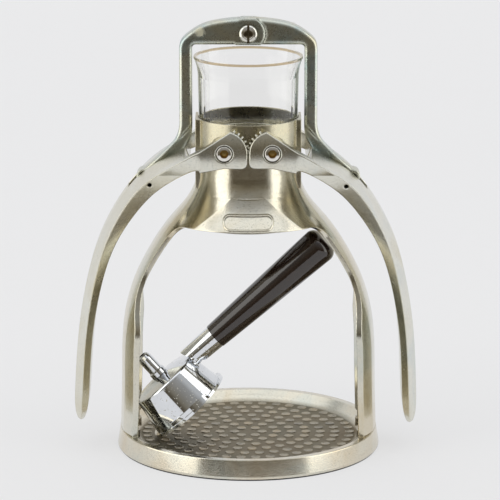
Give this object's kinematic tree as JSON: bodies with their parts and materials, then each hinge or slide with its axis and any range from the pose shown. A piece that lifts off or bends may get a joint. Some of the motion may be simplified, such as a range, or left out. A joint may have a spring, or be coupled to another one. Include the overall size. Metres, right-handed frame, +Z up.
{
  "type": "handheld manual espresso maker",
  "caption": "Cast metal hand-lever espresso maker: geared arms press a clear water cup and its piston down a cylinder; the filter holder lies loose in the frame.",
  "frame": {"origin": "centre of the resting face, under the middle of the base", "axes": "+Z up along the piston; -Y to the front with the badge; +X to the right arm as seen from the front"},
  "size_m": [0.2211, 0.1696, 0.28],
  "materials": {
    "cast_metal": "polished cast aluminium with a warm tarnish",
    "badge_metal": "bare plate with a darker field",
    "steel": "plain turned steel",
    "brass": "turned brass",
    "chrome": "bright chrome plate",
    "dark_grip": "glossy brown-black",
    "clear_plastic": "clear, slightly worn",
    "piston_plastic": "pale moulded plastic",
    "rubber": "black rubber"
  },
  "bodies": {
    "frame": {"body_casting": "cast_metal", "badge_plate": "badge_metal", "base_casting": "cast_metal", "foot_ring": "rubber", "base_screws": "steel", "pivot_bolts": "steel", "cylinder_sleeve": "steel", "brew_head": "cast_metal", "brew_head_screws": "steel", "group_gasket": "rubber", "shower_screen": "steel", "shower_screw": "steel"},
    "arm_left": {"lever_arm_left": "cast_metal", "arm_bushes_left": "brass", "link_pin_left": "steel"},
    "arm_right": {"lever_arm_right": "cast_metal", "arm_bushes_right": "brass", "link_pin_right": "steel"},
    "cup": {"water_cup": "clear_plastic", "piston_tube": "clear_plastic", "piston_head": "piston_plastic", "piston_seal": "rubber", "one_way_valve": "rubber", "top_screw": "steel", "top_nut": "brass"},
    "arch_link_left": {"link_left": "cast_metal"},
    "arch_link_right": {"link_right": "cast_metal"},
    "filter_holder": {"holder_body": "chrome", "spout_nozzle": "chrome", "handle_ferrule": "chrome", "handle_grip": "dark_grip", "handle_rod": "steel", "filter_basket": "steel", "basket_spring": "steel"}
  },
  "joints": [
    {"name": "arm_left_lift", "type": "hinge", "parent": "frame", "child": "arm_left", "pos_m": [-0.0151, 0, 0.2005], "axis": [0, 1, 0], "range_deg": [0, 50]},
    {"name": "arm_right_lift", "type": "hinge", "parent": "frame", "child": "arm_right", "pos_m": [0.0151, 0, 0.2005], "axis": [0, -1, 0], "range_deg": [0, 50]},
    {"name": "cup_rise", "type": "slide", "parent": "frame", "child": "cup", "axis": [0, 0, 1], "range_m": [0, 0.0434]},
    {"name": "link_left_swing", "type": "hinge", "parent": "cup", "child": "arch_link_left", "pos_m": [0, 0, 0.2704], "axis": [0, 1, 0], "range_deg": [-0.5, 0]},
    {"name": "link_right_swing", "type": "hinge", "parent": "cup", "child": "arch_link_right", "pos_m": [0, 0, 0.2704], "axis": [0, -1, 0], "range_deg": [0, 0.5]},
    {"name": "holder_swing_out", "type": "hinge", "parent": "frame", "child": "filter_holder", "pos_m": [-0.038, -0.01, 0.0273], "axis": [0.6691, 0, -0.7431], "range_deg": [0, 75]}
  ],
  "couplings": [
    {"joint": "arm_right_lift", "follows": "arm_left_lift", "ratio": 1},
    {"joint": "cup_rise", "follows": "arm_left_lift", "m_per_rad": 0.0496},
    {"joint": "link_left_swing", "follows": "arm_left_lift", "ratio": -0.0068},
    {"joint": "link_right_swing", "follows": "arm_left_lift", "ratio": 0.0044}
  ]
}
